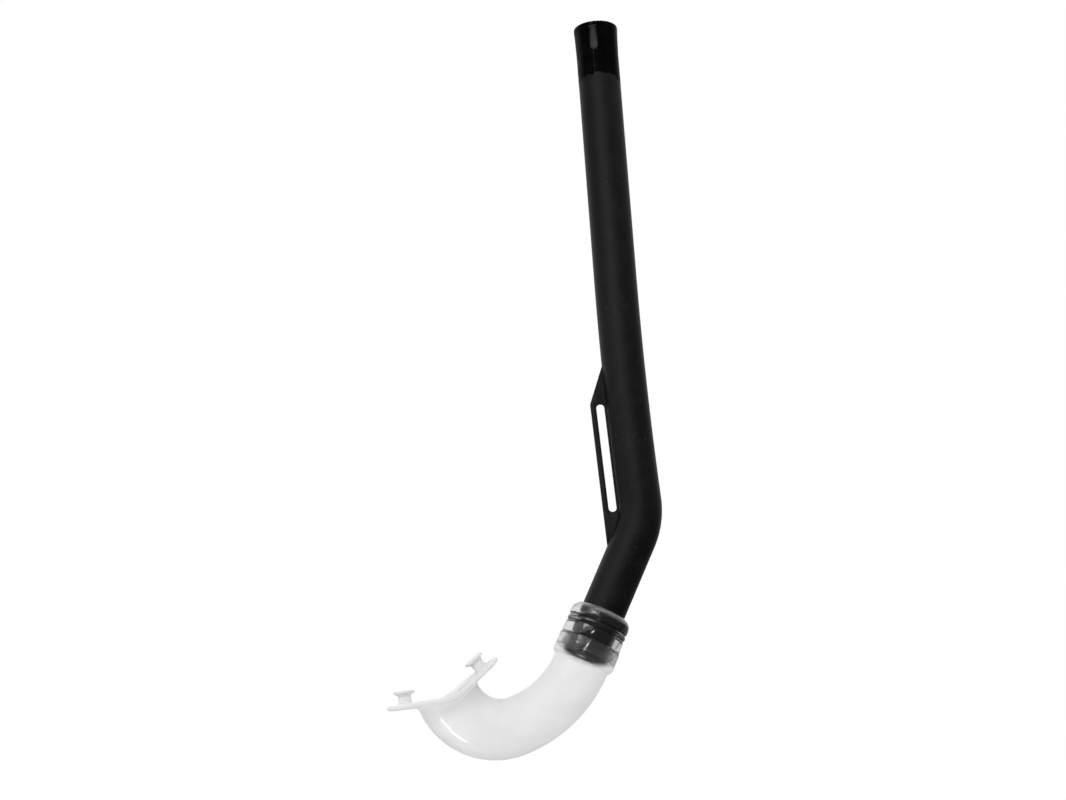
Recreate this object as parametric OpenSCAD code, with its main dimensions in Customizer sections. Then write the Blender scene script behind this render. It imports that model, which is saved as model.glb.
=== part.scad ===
// J snorkel: bowed barrel with a strap fin, glossy top sleeve, clear swivel collar and silicone mouthpiece.
// Millimetres, +Z up along the strap slot, origin at the middle of the slot. The J lies in the XZ plane.

/* [Barrel] */
// Outside diameter of the tube
tube_od = 24; // [20:0.5:28]
// Wall thickness of the tube
tube_wall = 2; // [1.8:0.1:3]
// Straight length of tube above the bow
upper_len = 152; // [110:1:200]
// Radius of the long bow beside the strap slot
bow_radius = 2300; // [1500:50:4000]
// Length of the bow above the middle of the slot
bow_above = 101; // [70:1:140]
// How far the main bend starts above the lower end of the slot
bend_rise = 4.75; // [0:0.25:6]
// Radius of the main bend, on the tube's centre line
bend_radius = 41; // [36:1:60]
// Turn of the main bend in degrees
bend_turn = 30.2; // [20:0.1:40]
// Straight length of tube from the main bend to the collar
lower_len = 44; // [35:0.5:70]
// Length of tube below the collar's skirt
spigot_over = 1.8; // [1:0.1:4]

/* [Strap fin] */
// Width of the strap slot
slot_w = 4.4; // [4.2:0.1:6]
// Length of the strap slot, end to end
slot_len = 61.5; // [40:0.5:64]
// Wall left between the slot and the tube
slot_web = 0.8; // [0.6:0.1:2]
// Width of the strip outside the slot
fin_rail = 3.2; // [2.5:0.1:6]
// Thickness of the fin
fin_thick = 3; // [2:0.1:5]
// Height of the fin's outer corner above the end of the slot
corner_over = 0.3; // [0:0.1:5]
// Height of the slope above the corner, up to where the fin runs out on the tube
fin_slope = 21; // [14:0.5:35]
// Rounding of the fin's outer corner
fin_round = 3; // [1:0.5:5]

/* [Top sleeve] */
// Length of the sleeve on the tube
sleeve_len = 29; // [15:0.5:45]
// Wall thickness of the sleeve
sleeve_wall = 1; // [0.8:0.05:1.4]
// How far the sleeve stands out from the tube
sleeve_proud = 0.2; // [0.1:0.05:0.7]
// How far the rim bead stands out from the sleeve
bead_proud = 0.35; // [0.1:0.05:0.8]
// Height of the rim bead
bead_h = 3; // [2:0.1:5]
// Thickness of the rim over the end of the tube
rim_thick = 1.2; // [0.8:0.1:2]

/* [Swivel collar] */
// Wall of the collar, from its bore to its bands
collar_wall = 4.55; // [4:0.05:6]
// Length of the collar that shows
collar_len = 18.2; // [17:0.2:24]
// Flat land at the collar's top edge, inside the rounded shoulder
shoulder_land = 0.15; // [0.1:0.05:1]
// Pitch of the grooves below the shoulder
groove_pitch = 3.4; // [3:0.1:4]
// Radius of a groove's round bottom
groove_r = 0.6; // [0.3:0.05:0.8]
// Wall of the skirt that the cuff grips
skirt_wall = 2.2; // [1.6:0.1:2.6]
// Length of the skirt inside the cuff
skirt_len = 7; // [6:0.1:8]
// How far the skirt's lip stands out
lip_proud = 0.6; // [0.3:0.1:1]
// Depth of the snap rib in the tube's groove
snap_depth = 0.5; // [0.3:0.05:0.7]
// Width of the snap rib
snap_w = 1.6; // [1:0.1:2]
// Thickness of the seal ring's cord
seal_cord = 1; // [0.8:0.05:1.2]

/* [Mouthpiece] */
// Turn of the mouthpiece about the lower tube, as it is stored, in degrees
mouth_turn = 13; // [-30:1:30]
// Wall of the cuff over the collar's skirt
cuff_wall = 2.9; // [2.4:0.1:4]
// Length of the cuff below the end of the tube
cuff_below = 3.6; // [3:0.1:6]
// Rounding of the cuff's lower edge
cuff_round = 3.2; // [1:0.1:4]
// Wall thickness of the elbow
elbow_wall = 2.2; // [1.6:0.1:3]
// Radial gap between the end of the tube and the elbow's bore
throat_gap = 1; // [0.5:0.1:2]
// Step from the cuff's throat in to the elbow's bore
throat_step = 0.4; // [0.2:0.1:0.8]
// Radius of the elbow's first, wide arc
elbow_radius_1 = 62.5; // [50:0.5:75]
// Turn of the wide arc in degrees
elbow_turn_1 = 46; // [30:0.5:55]
// Radius of the elbow's second, tight arc
elbow_radius_2 = 29.2; // [26:0.2:42]
// Turn of the tight arc in degrees
elbow_turn_2 = 85; // [75:0.5:100]
// Width of the mouth end in the plane of the J
mouth_w = 34.4; // [30:0.2:38]
// Height of the mouth end across the J
mouth_h = 24; // [20:0.5:30]

/* [Lip shield] */
// Width of the lip shield, tip to tip
shield_w = 64.4; // [56:0.5:76]
// Height of the lip shield
shield_h = 40; // [32:0.5:48]
// Thickness of the lip shield
shield_thick = 2.5; // [1.6:0.1:3]
// Angle of each limb of the shield towards the mouth
limb_angle = 18; // [8:0.5:24]
// Radius of the shield's middle
shield_radius = 22; // [15:1:40]
// Distance of a bite tab from the shield's tip
tab_inset = 10; // [8:0.5:14]
// Width of a bite tab's neck
tab_neck_w = 6.7; // [5:0.1:9]
// Thickness of a bite tab's neck
tab_neck_t = 5; // [3:0.1:7]
// Depth of a bite tab's neck
tab_neck_d = 7.4; // [6:0.1:11]
// Width of a bite tab's head
tab_head_w = 10.9; // [9:0.1:14]
// Thickness of a bite tab's head
tab_head_t = 10; // [7:0.1:13]
// Depth of a bite tab's head
tab_head_d = 2.2; // [1.5:0.1:3]

/* [Fits] */
// Radial running clearance of the collar on the tube
run_clear = 0.05; // [0.02:0.01:0.1]
// Clearance between pieces that are pushed together
push_clear = 0.05; // [0:0.01:0.1]
// Side clearance of the snap rib and the seal ring
side_clear = 0.3; // [0.2:0.05:0.5]

/* [Hidden] */
$fn = 96;

tube_r = tube_od / 2;
bore_r = tube_r - tube_wall;

// A cut runs over past its face, the tube's lengths lap, and a hair parts the surfaces of two lengths
over = 1;
lap = 0.4;
hair = 0.05;

// Centre line of the barrel, in the XZ plane. A lean is the tube's tilt towards +X, going up
slot_to_axis = slot_w / 2 + slot_web + tube_r;
bow_centre = [bow_radius + slot_to_axis, 0];
top_lean = arc_turn(bow_above, bow_radius);
bow_end_turn = arc_turn(slot_len / 2 - bend_rise, bow_radius);
bow_top = bow_centre + bow_radius * [-cos(top_lean), sin(top_lean)];
bow_end = bow_centre + bow_radius * [-cos(bow_end_turn), -sin(bow_end_turn)];
bend_centre = bow_end - bend_radius * [cos(bow_end_turn), sin(bow_end_turn)];
low_lean = bend_turn - bow_end_turn;
bend_end = bend_centre + bend_radius * [cos(low_lean), -sin(low_lean)];
low_up = [sin(low_lean), cos(low_lean)];
bow_lap = arc_turn(lap, bow_radius);
collar_top = bend_end - lower_len * low_up;

// Strap fin: its outer edge runs straight down until it meets the lower tube
fin_edge = -slot_w / 2 - fin_rail;
fin_corner = slot_len / 2 + corner_over;
fin_top = fin_corner + fin_slope;
bow_sag = bow_radius - sqrt(pow(bow_radius, 2) - pow(fin_top, 2));
fin_top_x = slot_to_axis + bow_sag - tube_r;
fin_foot = bend_end - low_up * ((bend_end[0] - fin_edge) / low_up[0]);

// Top sleeve, measured down from the end of the tube
seat_r = tube_r + sleeve_proud - sleeve_wall - push_clear;
sleeve_r = tube_r + sleeve_proud;
bead_r = sleeve_r + bead_proud;

// Swivel, measured up the lower tube from the collar's top edge
collar_bore_r = tube_r + run_clear;
collar_r = collar_bore_r + collar_wall;
shoulder_r = collar_wall - shoulder_land;
skirt_r = collar_bore_r + skirt_wall;
skirt_end = -collar_len - skirt_len;
spigot_end = skirt_end - spigot_over;
lip_h = skirt_wall;
snap_z = -collar_len - skirt_len / 2;
snap_r = collar_bore_r - snap_depth;
seal_z = -collar_len / 2;
seal_r = tube_r - seal_cord / 2;

// Mouthpiece, measured in the same way
grip_r = skirt_r + push_clear;
cuff_r = grip_r + cuff_wall;
cuff_bottom = spigot_end - cuff_below;
elbow_turn = elbow_turn_1 + elbow_turn_2;
elbow_bore_r = tube_r + throat_gap;
elbow_start = 2 * (elbow_bore_r + elbow_wall);
throat_r = elbow_bore_r + throat_step;
loft_sides = 32;
loft_rings = 20;
limb_start = shield_radius * sin(limb_angle);
limb_rise = shield_radius * (1 - cos(limb_angle));
limb_len = (shield_w / 2 - limb_start) / cos(limb_angle);
mouth_push = limb_rise + mouth_w / 2 * tan(limb_angle);
shield_power = 2.5;
tab_power = 4;

function arc_turn(length, radius) = length / radius * 180 / PI;

// Points of an arc in the plane
function arc(centre, radius, from, to, steps = 12) =
    [for (i = [0:steps]) let (a = from + (to - from) * i / steps) centre + radius * [cos(a), sin(a)]];

// Rounded oval between an ellipse and a rectangle
function oval(half_w, half_h, power, count) =
    [for (i = [0:count - 1]) let (a = 360 * i / count, c = cos(a), s = sin(a))
        [half_w * sign(c) * pow(abs(c), 2 / power), half_h * sign(s) * pow(abs(s), 2 / power)]];

// Point of the elbow's centre line after a turn of t degrees, and its oval half sizes there
function elbow_point(t) =
    t <= elbow_turn_1
    ? [elbow_radius_1 * (cos(t) - 1), cuff_bottom - elbow_radius_1 * sin(t)]
    : [(elbow_radius_1 - elbow_radius_2) * cos(elbow_turn_1) - elbow_radius_1 + elbow_radius_2 * cos(t),
       cuff_bottom - (elbow_radius_1 - elbow_radius_2) * sin(elbow_turn_1) - elbow_radius_2 * sin(t)];
function ease(u) = u * u * (3 - 2 * u);
function elbow_half_w(t) = (elbow_start + (mouth_w - elbow_start) * ease(t / elbow_turn)) / 2;
function elbow_half_h(t) = (elbow_start + (mouth_h - elbow_start) * ease(t / elbow_turn)) / 2;

// One ring of the elbow, inset from its outside and pushed along its heading
function elbow_ring(t, inset, push) =
    let (p = elbow_point(t) + push * [-sin(t), -cos(t)])
    let (w = elbow_half_w(t) - inset, h = elbow_half_h(t) - inset)
    [for (i = [0:loft_sides - 1]) let (a = 360 * i / loft_sides)
        [p[0] + w * cos(a) * cos(t), h * sin(a), p[1] - w * cos(a) * sin(t)]];

// Solid skinned over a list of rings with equal numbers of points
module loft(rings) {
    n = len(rings[0]);
    last = len(rings) - 1;
    points = [for (ring = rings) each ring];
    sides = [for (k = [0:last - 1]) for (i = [0:n - 1]) let (j = (i + 1) % n)
        each [[k * n + i, k * n + j, (k + 1) * n + j], [k * n + i, (k + 1) * n + j, (k + 1) * n + i]]];
    first_cap = [for (i = [0:n - 1]) n - 1 - i];
    last_cap = [for (i = [0:n - 1]) last * n + i];
    polyhedron(points, concat([first_cap], sides, [last_cap]));
}

// Moves a shape from the XY plane to the XZ plane, with its middle on the plane
module upright(thickness) {
    rotate([90, 0, 0]) linear_extrude(thickness, center = true) children();
}

// Places children on the lower tube, +Z up the tube, origin at the collar's top edge
module on_lower_tube() {
    translate([collar_top[0], 0, collar_top[1]]) rotate([0, low_lean, 0]) children();
}

// Places children at the upper end of the tube, +Z out of the tube
module on_upper_end() {
    translate([bow_top[0], 0, bow_top[1]]) rotate([0, top_lean, 0]) translate([0, 0, upper_len]) children();
}

// Solid rod along the barrel's centre line, longer by extra at both ends. Its four lengths overlap by lap,
// and the bow and the bend are thinner than the straight lengths by a hair and by two
module barrel_rod(radius, extra) {
    on_upper_end() translate([0, 0, -upper_len - lap]) cylinder(r = radius, h = upper_len + lap + extra);
    translate([bow_centre[0], 0, bow_centre[1]]) rotate([90, 0, 0])
        rotate_extrude(start = 180 - top_lean, angle = top_lean + bow_end_turn + bow_lap, $fn = 720)
            translate([bow_radius, 0]) circle(radius - hair, $fn = 96);
    translate([bend_centre[0], 0, bend_centre[1]]) rotate([90, 0, 0])
        rotate_extrude(start = -low_lean, angle = bend_turn)
            translate([bend_radius, 0]) circle(radius - 2 * hair);
    on_lower_tube() translate([0, 0, spigot_end - extra])
        cylinder(r = radius, h = lower_len - spigot_end + lap + extra);
}

// Flat fin from its outer edge in to the tube's centre line
module fin_plate() {
    ramp = atan2(fin_top - fin_corner, fin_top_x - fin_edge);
    corner_run = fin_round * tan((90 - ramp) / 2);
    rounding = arc([fin_edge + fin_round, fin_corner - corner_run], fin_round, 180, 90 + ramp, 8);
    outline = concat([fin_foot], rounding,
        [[fin_top_x, fin_top], [fin_top_x + tube_r, fin_top], bow_end, bend_end]);
    upright(fin_thick) polygon(outline);
}

module strap_slot() {
    straight = slot_len - slot_w;
    cube([slot_w, fin_thick + 2 * over, straight], center = true);
    for (side = [-1, 1])
        translate([0, 0, side * straight / 2]) rotate([90, 0, 0])
            cylinder(d = slot_w, h = fin_thick + 2 * over, center = true);
}

// Square groove round a tube of radius tube_r
module ring_groove(z, depth, width) {
    translate([0, 0, z - width / 2]) difference() {
        cylinder(r = tube_r + over, h = width);
        translate([0, 0, -over]) cylinder(r = tube_r - depth, h = width + 2 * over);
    }
}

module barrel() {
    color([0.05, 0.05, 0.052]) difference() {
        union() {
            barrel_rod(tube_r, 0);
            fin_plate();
        }
        barrel_rod(bore_r, over);
        strap_slot();
        on_upper_end() translate([0, 0, -sleeve_len]) difference() {
            cylinder(r = tube_r + over, h = sleeve_len + over);
            translate([0, 0, -over]) cylinder(r = seat_r, h = sleeve_len + 3 * over);
        }
        on_lower_tube() {
            ring_groove(snap_z, snap_depth + run_clear, snap_w + 2 * side_clear);
            ring_groove(seal_z, seal_cord + run_clear, seal_cord + 2 * side_clear);
        }
    }
}

module top_sleeve() {
    bead_round = min(bead_proud + sleeve_wall, bead_h) / 2;
    rim_top = rim_thick + push_clear;
    inside = [[seat_r + push_clear, -sleeve_len], [seat_r + push_clear, push_clear], [bore_r, push_clear]];
    rim = concat(
        arc([bore_r + rim_thick / 2, rim_top - rim_thick / 2], rim_thick / 2, 180, 90, 6),
        arc([bead_r - bead_round, rim_top - bead_round], bead_round, 90, 0, 8));
    bead_foot = arc([bead_r, rim_top - bead_h - bead_proud], bead_proud, 90, 180, 6);
    outside = concat([[bead_r, rim_top - bead_h]], bead_foot, [[sleeve_r, -sleeve_len]]);
    color([0.015, 0.015, 0.017]) on_upper_end() rotate_extrude() polygon(concat(inside, rim, outside));
}

// Round grooves that part the collar into bands
module collar_grooves() {
    for (i = [1, 2])
        rotate_extrude() translate([collar_r, -shoulder_r - i * groove_pitch]) circle(groove_r, $fn = 32);
}

module swivel_collar() {
    profile = concat(
        [[collar_bore_r, 0]],
        arc([collar_r - shoulder_r, -shoulder_r], shoulder_r, 90, 0),
        [[collar_r, -collar_len], [skirt_r, -collar_len], [skirt_r, skirt_end + 2 * lip_h],
         [skirt_r + lip_proud, skirt_end + lip_h], [skirt_r, skirt_end], [collar_bore_r, skirt_end],
         [collar_bore_r, snap_z - snap_w / 2], [snap_r, snap_z - snap_w / 2 + snap_depth / 2],
         [snap_r, snap_z + snap_w / 2 - snap_depth / 2], [collar_bore_r, snap_z + snap_w / 2]]);
    color([0.75, 0.77, 0.78, 0.5]) on_lower_tube() difference() {
        rotate_extrude() polygon(profile);
        collar_grooves();
    }
}

module collar_seal() {
    color([0.1, 0.1, 0.1]) on_lower_tube() translate([0, 0, seal_z])
        rotate_extrude() translate([seal_r, 0]) circle(d = seal_cord, $fn = 32);
}

// Cuff that grips the collar's skirt, open at both ends
module cuff() {
    step_z = skirt_end - push_clear;
    profile = concat(
        [[grip_r, -collar_len - push_clear], [cuff_r, -collar_len - push_clear]],
        arc([cuff_r - cuff_round, cuff_bottom + cuff_round], cuff_round, 0, -90, 8),
        [[throat_r, cuff_bottom], [throat_r, step_z], [grip_r, step_z],
         [grip_r + lip_proud, skirt_end + lip_h], [grip_r, skirt_end + 2 * lip_h + push_clear]]);
    rotate_extrude() polygon(profile);
}

// Solid of the elbow, inset from its outside. It starts sink deep in the cuff and runs past the mouth by reach
module elbow_solid(inset, sink, reach) {
    arc_rings = [for (k = [0:loft_rings]) elbow_ring(elbow_turn * k / loft_rings, inset, 0)];
    loft(concat([elbow_ring(0, inset, -sink)], arc_rings, [elbow_ring(elbow_turn, inset, reach)]));
}

// Places children at the mouth, +Z out towards the mouth, origin on the middle of the shield
module at_mouth() {
    p = elbow_point(elbow_turn);
    translate([p[0], 0, p[1]]) rotate([0, elbow_turn + 180, 0]) children();
}

// Side view of the shield's front face, from tip to tip
function shield_front(lift) =
    concat([[-shield_w / 2, limb_rise + limb_len * sin(limb_angle) + lift]],
        [for (p = arc([0, shield_radius], shield_radius, -90 - limb_angle, -90 + limb_angle)) p + [0, lift]],
        [[shield_w / 2, limb_rise + limb_len * sin(limb_angle) + lift]]);

module lip_shield() {
    reach = limb_rise + limb_len + shield_thick;
    front = shield_front(0);
    back = shield_front(-shield_thick);
    intersection() {
        upright(shield_h) polygon(concat(front, [for (i = [len(back) - 1:-1:0]) back[i]]));
        translate([0, 0, -reach]) linear_extrude(2 * reach)
            polygon(oval(shield_w / 2, shield_h / 2, shield_power, 48));
    }
}

// Everything on the mouth's side of the shield's front face
module mouth_side() {
    far = [[shield_w, 2 * shield_w], [-shield_w, 2 * shield_w]];
    upright(shield_w) polygon(concat(shield_front(-shield_thick / 2), far));
}

module soft_block(width, thickness, depth) {
    linear_extrude(depth) polygon(oval(width / 2, thickness / 2, tab_power, 24));
}

// T shaped lug on each limb, square to the limb
module bite_tabs() {
    for (side = [-1, 1])
        translate([side * limb_start, 0, limb_rise]) rotate([0, -side * limb_angle, 0])
            translate([side * (limb_len - tab_inset), 0, -shield_thick / 2]) {
                soft_block(tab_neck_w, tab_neck_t, tab_neck_d + shield_thick / 2);
                translate([0, 0, tab_neck_d + shield_thick / 2 - tab_head_d])
                    soft_block(tab_head_w, tab_head_t, tab_head_d);
            }
}

module mouthpiece() {
    color([0.9, 0.9, 0.88, 0.85]) on_lower_tube() rotate([0, 0, mouth_turn]) {
        cuff();
        difference() {
            union() {
                difference() {
                    elbow_solid(0, over, mouth_push);
                    at_mouth() mouth_side();
                }
                at_mouth() lip_shield();
            }
            elbow_solid(elbow_wall, 2 * over, shield_w / 2);
        }
        at_mouth() bite_tabs();
    }
}

barrel();
top_sleeve();
swivel_collar();
collar_seal();
mouthpiece();
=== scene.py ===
"""Looks of the J snorkel: its pieces, their finishes and the studio, in metres in the part's frame."""
from math import atan2, cos, degrees, pi, radians, sin, sqrt, tan

import bmesh
import bpy
from mathutils import Matrix, Vector


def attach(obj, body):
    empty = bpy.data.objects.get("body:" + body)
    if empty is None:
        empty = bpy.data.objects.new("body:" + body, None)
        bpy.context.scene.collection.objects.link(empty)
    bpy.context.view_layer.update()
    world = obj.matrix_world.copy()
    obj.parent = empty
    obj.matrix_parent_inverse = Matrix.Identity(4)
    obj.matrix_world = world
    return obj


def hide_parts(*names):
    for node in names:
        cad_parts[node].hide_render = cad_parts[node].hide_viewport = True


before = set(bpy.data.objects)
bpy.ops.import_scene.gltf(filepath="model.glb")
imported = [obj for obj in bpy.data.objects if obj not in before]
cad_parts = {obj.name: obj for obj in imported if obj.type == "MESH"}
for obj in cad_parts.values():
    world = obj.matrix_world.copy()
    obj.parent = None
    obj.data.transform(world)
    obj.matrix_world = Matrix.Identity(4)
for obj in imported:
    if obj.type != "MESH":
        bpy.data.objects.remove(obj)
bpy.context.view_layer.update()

MM = 0.001

# Barrel: a straight upper tube, a long bow, one bend and a straight lower tube
tube_r = 12 * MM
bore_r = 10 * MM
upper_len = 152 * MM
bow_radius = 2300 * MM
bow_above = 101 * MM
bend_radius = 41 * MM
bend_turn = radians(30.2)
bend_rise = 4.75 * MM
lower_len = 44 * MM

# Strap fin and its slot, and where the middle of a quarter round lies as a share of its radius
slot_w = 4.4 * MM
slot_len = 61.5 * MM
slot_web = 0.8 * MM
fin_rail = 3.2 * MM
fin_thick = 3 * MM
fin_edge_round = 0.45 * MM
fin_corner_over = 0.3 * MM
fin_slope = 21 * MM
fin_corner_round = 3 * MM
fin_root = 1 * MM
round_middle = 1 - sqrt(0.5)

# Top sleeve
sleeve_len = 29 * MM
sleeve_wall = 1 * MM
sleeve_proud = 0.2 * MM
sleeve_drip = 6 * MM
sleeve_flare = 14 * MM
sleeve_skin = 0.02 * MM
waist_gap = 1 * MM
bead_proud = 0.35 * MM
bead_h = 3 * MM
rim_thick = 1.2 * MM
bead_tuck_deg = 50

# Feather edge of the sleeve: waves and narrow runs as (times round the tube, phase, share of the drip)
drip_mean = 0.42
drip_waves = ((2, 0.3 + pi / 2, 0.3), (3, 0.6, 0.08))
drip_runs = ((9, 0.4, 0.2), (14, 2.9, 0.14))
run_power = 4

# Swivel collar: its grooves, skirt, lip and snap rib, and the seal and the end of the tube inside it
collar_wall = 4.55 * MM
collar_len = 18.2 * MM
shoulder_land = 0.15 * MM
groove_pitch = 3.4 * MM
groove_r = 0.6 * MM
groove_half_deg = 40
grooves = 2
band_crown = 0.12 * MM
skirt_wall = 2.2 * MM
skirt_len = 7 * MM
lip_proud = 0.6 * MM
snap_depth = 0.5 * MM
snap_w = 1.6 * MM
seal_cord = 1 * MM
spigot_over = 1.8 * MM
edge_round = 0.25 * MM

# Mouthpiece: cuff, elbow, lip shield and bite tabs
mouth_turn = radians(13)
cuff_wall = 2.9 * MM
cuff_below = 3.6 * MM
cuff_round = 3.2 * MM
cuff_round_deg = 62
cuff_edge = 0.75 * MM
elbow_wall = 2.2 * MM
throat_gap = 1 * MM
throat_step = 0.4 * MM
elbow_radius_1 = 62.5 * MM
elbow_turn_1 = radians(46)
elbow_radius_2 = 29.2 * MM
elbow_turn_2 = radians(85)
mouth_w = 34.4 * MM
mouth_h = 24 * MM
shield_w = 64.4 * MM
shield_h = 40 * MM
shield_thick = 2.5 * MM
shield_power = 2.5
limb_angle = radians(18)
shield_radius = 22 * MM
root_fillet = 2 * MM
fillet_start_deg = 15
lip_round = 1 * MM
shield_dish = 1.4 * MM
tab_inset = 10 * MM
tab_power = 4
tab_neck_w = 6.7 * MM
tab_neck_t = 5 * MM
tab_head_w = 10.9 * MM
tab_head_t = 10 * MM
tab_out = 7.4 * MM
tab_foot = 1.8 * MM
tab_fillet = 1.25 * MM
tab_round = 0.75 * MM
tab_undercut = 0.3 * MM
tab_dish = 0.35 * MM
tab_ring_depth = 0.5
tab_ring_out = 0.55
tab_floor_out = 0.2

# Fits
run_clear = 0.05 * MM
push_clear = 0.05 * MM
side_clear = 0.3 * MM

# Levels of noise at the two sides of a soft edge, and how far specks and painted shade cover what they lie
# on
cloud_edge = (0.3, 0.7)
speck_edge = (0.74, 0.8)
speck_patch_edge = (0.45, 0.65)
smear_edge = (0.35, 0.75)
polish_edge = (0.4, 0.8)
speck_share = 0.5
painted_shade_share = 0.8

# Zones of the clear collar's finish, each as the two sides of its soft edge, and the waver of one edge.
# Painted shade darkens the bore, except at unshaded zones left and right and at the skirt's end, and the
# grooves; the shoulder gets a painted highlight
cuff_blend = (-0.3 * MM, 0)
bore_shade_depth = (0.05 * MM, 0.1 * MM)
left_unshaded_edge = (-9 * MM, -1.5 * MM)
left_unshaded_waver = 3 * MM
right_unshaded_edge = (8 * MM, 10.5 * MM)
right_unshaded_top = (-10 * MM, -7 * MM)
skirt_shade_edge = (0.5 * MM, 1 * MM)
groove_floor = (-1 * MM, -0.8 * MM)
groove_lip = (-0.4 * MM, -0.15 * MM)
shoulder_gap = (-0.6 * MM, -0.3 * MM)
sheen_edge = (-4 * MM, -2.2 * MM)

# Zones of the silicone's finish, in the same way, and the curve and waver of its frosted edge
frost_scallop = 48 * MM
frost_waver = 2 * MM
frost_edge = (-2.2 * MM, 1.8 * MM)
grip_blend = (0, 0.5 * MM)
mouth_polish = (0, 8 * MM)
elbow_polish = (-84 * MM, -74 * MM)
# Edge of the painted shade at the seam with the collar
seam_shade_edge = (-0.5 * MM, -0.3 * MM)

# Sides of the round pieces
TUBE_SIDES = 96
MOUTH_SIDES = 80
TAB_SIDES = 32

# Rings along the pieces
FIRST_RING_GAP = 10 * MM
UPPER_RINGS = 10
BOW_RINGS = 26
BEND_RINGS = 24
LOWER_RINGS = 8
FLARE_RINGS = 8
WAIST_RINGS = 6
ELBOW_RINGS = 52
ELBOW_BORE_RINGS = 44
ROOT_FILLET_RINGS = 6
SHIELD_BACK_RINGS = 9
SHIELD_RIM_RINGS = 11
SHIELD_FRONT_RINGS = 12
BORE_LIP_RINGS = 6
TAB_FOOT_RINGS = 7
TAB_FILLET_RINGS = 8
TAB_RIM_RINGS = 9

# Points along the fin's root, its slot and a band of the collar
FIN_ROOT_POINTS = 60
SLOT_END_POINTS = 33
SLOT_SIDE_POINTS = 20
BAND_POINTS = 9

# Steps of the arcs in an outline or a profile
FIN_CORNER_STEPS = 8
RIM_STEPS = 8
BEAD_STEPS = 10
BEAD_TUCK_STEPS = 5
SHOULDER_STEPS = 24
GROOVE_STEPS = 10
COLLAR_EDGE_STEPS = 7
CUFF_EDGE_STEPS = 8
CUFF_ROUND_STEPS = 10

# Mesh work: distances under which points are merged, and the angle under which an edge is shaded smooth
RING_WELD = 0.002 * MM
JOIN_WELD = 0.01 * MM
SLIVER = 0.005 * MM
SMOOTH_UNDER = radians(32)

# Slack of the fin's rays, for edges that run along a ray and for the ends of an edge
PARALLEL = 1e-12
EDGE_SLACK = 1e-9

# Centre line of the barrel, in the XZ plane, by the distance down from its upper end
top_lean = bow_above / bow_radius
bow_end_turn = (slot_len / 2 - bend_rise) / bow_radius
slot_to_axis = slot_w / 2 + slot_web + tube_r
bow_len = bow_radius * (top_lean + bow_end_turn)
bend_len = bend_radius * bend_turn
bow_start = upper_len
bend_start = bow_start + bow_len
low_start = bend_start + bend_len
collar_start = low_start + lower_len
spigot_end = collar_len + skirt_len + spigot_over
tube_len = collar_start + spigot_end


def leaning(x, z, lean):
    """Frame at a point of the centre line: +Z up the tube, +Y square to the plane of the J."""
    return Matrix.Translation((x, 0, z)) @ Matrix.Rotation(lean, 4, "Y")


def along_tube(distance):
    """Frame on the centre line, at a distance down from the upper end of the tube."""
    bow_x = slot_to_axis + bow_radius
    if distance < bow_start:
        start = leaning(bow_x - bow_radius * cos(top_lean), bow_radius * sin(top_lean), top_lean)
        return start @ Matrix.Translation((0, 0, bow_start - distance))
    if distance < bend_start:
        turn = top_lean - (distance - bow_start) / bow_radius
        return leaning(bow_x - bow_radius * cos(turn), bow_radius * sin(turn), turn)
    bend_x = bow_x - (bow_radius + bend_radius) * cos(bow_end_turn)
    bend_z = -(bow_radius + bend_radius) * sin(bow_end_turn)
    turn = min(distance - bend_start, bend_len) / bend_radius - bow_end_turn
    place = leaning(bend_x + bend_radius * cos(turn), bend_z - bend_radius * sin(turn), turn)
    return place @ Matrix.Translation((0, 0, -max(distance - low_start, 0)))


collar_frame = along_tube(collar_start)


# Modelling helpers
def arc(centre, radius, first, last, steps):
    """Points of an arc in a profile's plane, with its angles in degrees."""
    angles = [radians(first + (last - first) * k / steps) for k in range(steps + 1)]
    return [(centre[0] + radius * cos(a), centre[1] + radius * sin(a)) for a in angles]


def spread(first, last, count):
    """Evenly spaced values from first to last."""
    return [first + (last - first) * k / (count - 1) for k in range(count)]


def round_angles(sides):
    """Angles of the points of a ring."""
    return [2 * pi * k / sides for k in range(sides)]


def circle(place, radius, sides):
    """Ring of points round a frame's +Z axis."""
    return [place @ Vector((radius * cos(a), radius * sin(a), 0)) for a in round_angles(sides)]


def turned(place, profile, sides):
    """Rings of a turned piece, from a profile of (radius, height) points in a frame."""
    return [circle(place @ Matrix.Translation((0, 0, z)), r, sides) for r, z in profile]


def oval(half_w, half_h, power, angle):
    """Point of a rounded oval between an ellipse and a rectangle."""
    c, s = cos(angle), sin(angle)
    across = half_w * abs(c) ** (2 / power) * (1 if c >= 0 else -1)
    up = half_h * abs(s) ** (2 / power) * (1 if s >= 0 else -1)
    return across, up


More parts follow.
